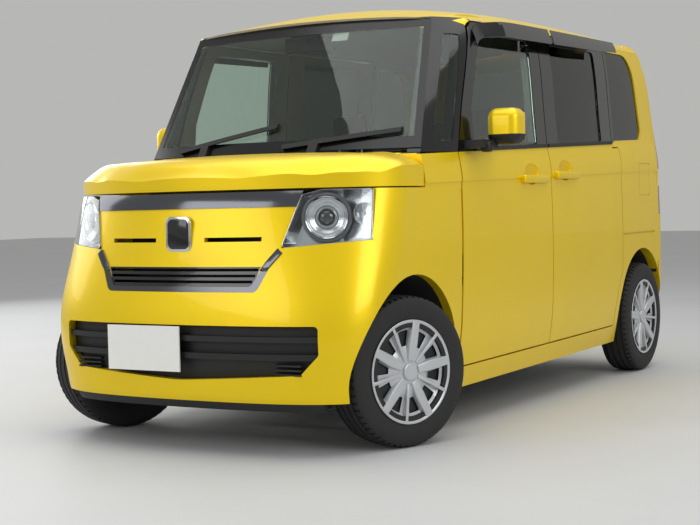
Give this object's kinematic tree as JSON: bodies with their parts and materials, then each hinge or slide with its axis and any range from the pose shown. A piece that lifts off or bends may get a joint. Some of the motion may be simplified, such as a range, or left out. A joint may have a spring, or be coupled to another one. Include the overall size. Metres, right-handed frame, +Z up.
{
  "type": "kei car",
  "caption": "Boxy tall-wagon kei car with sliding rear side doors, opening front doors, bonnet and tailgate, steered front wheels and a furnished cabin.",
  "frame": {"origin": "centre of the bounding box at ground level, midway between the bumpers", "axes": "front looks along -Y, the car's left is +X, +Z up"},
  "size_m": [1.8, 3.3944, 1.7891],
  "materials": {
    "paint": "gloss pearl yellow",
    "roof_paint": "gloss pearl yellow",
    "structure": "satin dark grey underbody paint",
    "black_plastic": "fine-grained black plastic",
    "gloss_black": "gloss black",
    "chrome": "dark chrome",
    "glass": "clear tinted glass",
    "dark_glass": "dark privacy glass",
    "lamp_glass": "clear lamp lens",
    "red_lens": "red lamp lens",
    "tyre": "black tyre rubber",
    "rim": "silver wheel cover on black steel wheel",
    "steel": "dark cast steel",
    "seat_cloth": "woven seat cloth",
    "plate": "blank white plate"
  },
  "bodies": {
    "body": {"floorpan": "structure", "body_sides": "paint", "pillars": "gloss_black", "roof": "roof_paint", "fenders": "paint", "front_bumper": "paint", "rear_bumper": "paint", "sliding_door_left": "paint", "sliding_door_right": "paint", "windscreen": "glass", "fixed_side_windows": "dark_glass", "sliding_left_window": "dark_glass", "sliding_right_window": "dark_glass", "headlamps": "lamp_glass", "tail_lamps": "red_lens", "grille_panel": "paint", "grille_trim": "chrome", "lower_grille": "black_plastic", "front_plate": "plate", "cowl_and_wipers": "black_plastic", "suspension_front": "steel", "rear_axle": "steel", "engine": "steel", "exhaust_and_tank": "steel", "seats": "seat_cloth", "dashboard": "black_plastic"},
    "bonnet": {"bonnet": "paint"},
    "tailgate": {"tailgate": "paint", "tailgate_window": "dark_glass", "rear_plate": "plate"},
    "front_door_left": {"door_front_left": "paint", "front_left_window": "glass", "mirror_left": "paint"},
    "front_door_right": {"door_front_right": "paint", "front_right_window": "glass", "mirror_right": "paint"},
    "knuckle_left": {"knuckle_left": "steel"},
    "knuckle_right": {"knuckle_right": "steel"},
    "wheel_front_left": {"wheel_front_left": "rim", "tyre_front_left": "tyre"},
    "wheel_front_right": {"wheel_front_right": "rim", "tyre_front_right": "tyre"},
    "wheel_rear_left": {"wheel_rear_left": "rim", "tyre_rear_left": "tyre"},
    "wheel_rear_right": {"wheel_rear_right": "rim", "tyre_rear_right": "tyre"},
    "steering_wheel": {"steering_wheel": "black_plastic"}
  },
  "joints": [
    {"name": "bonnet_hinge", "type": "hinge", "parent": "body", "child": "bonnet", "pos_m": [0, -1.085, 1.075], "axis": [-1, 0, 0], "range_deg": [0, 45]},
    {"name": "tailgate_hinge", "type": "hinge", "parent": "body", "child": "tailgate", "pos_m": [0, 1.476, 1.731], "axis": [1, 0, 0], "range_deg": [0, 68]},
    {"name": "front_door_left_hinge", "type": "hinge", "parent": "body", "child": "front_door_left", "pos_m": [0.72254, -0.77, 0.64], "axis": [0, 0, -1], "range_deg": [0, 70]},
    {"name": "front_door_right_hinge", "type": "hinge", "parent": "body", "child": "front_door_right", "pos_m": [-0.72254, -0.77, 0.64], "axis": [0, 0, 1], "range_deg": [0, 70]},
    {"name": "steer_left", "type": "hinge", "parent": "body", "child": "knuckle_left", "pos_m": [0.6525, -1.1975, 0.2785], "axis": [0, 0, 1], "range_deg": [-17, 57]},
    {"name": "steer_right", "type": "hinge", "parent": "body", "child": "knuckle_right", "pos_m": [-0.6525, -1.1975, 0.2785], "axis": [0, 0, 1], "range_deg": [-17, 57]},
    {"name": "steering_wheel_turn", "type": "hinge", "parent": "body", "child": "steering_wheel", "pos_m": [-0.34, -0.575, 0.962], "axis": [0, 0.9395, 0.3424], "range_deg": [-260, 860]},
    {"name": "wheel_front_left_spin", "type": "hinge", "parent": "knuckle_left", "child": "wheel_front_left", "pos_m": [0.6525, -1.1975, 0.2785], "axis": [0.9406, -0.3396, 0], "continuous": true},
    {"name": "wheel_front_right_spin", "type": "hinge", "parent": "knuckle_right", "child": "wheel_front_right", "pos_m": [-0.6525, -1.1975, 0.2785], "axis": [0.9406, -0.3396, 0], "continuous": true},
    {"name": "wheel_rear_left_spin", "type": "hinge", "parent": "body", "child": "wheel_rear_left", "pos_m": [0.6525, 1.3225, 0.2785], "axis": [1, 0, 0], "continuous": true},
    {"name": "wheel_rear_right_spin", "type": "hinge", "parent": "body", "child": "wheel_rear_right", "pos_m": [-0.6525, 1.3225, 0.2785], "axis": [1, 0, 0], "continuous": true}
  ],
  "couplings": [
    {"joint": "steer_right", "follows": "steer_left", "ratio": 1},
    {"joint": "steering_wheel_turn", "follows": "steer_left", "ratio": 15}
  ]
}
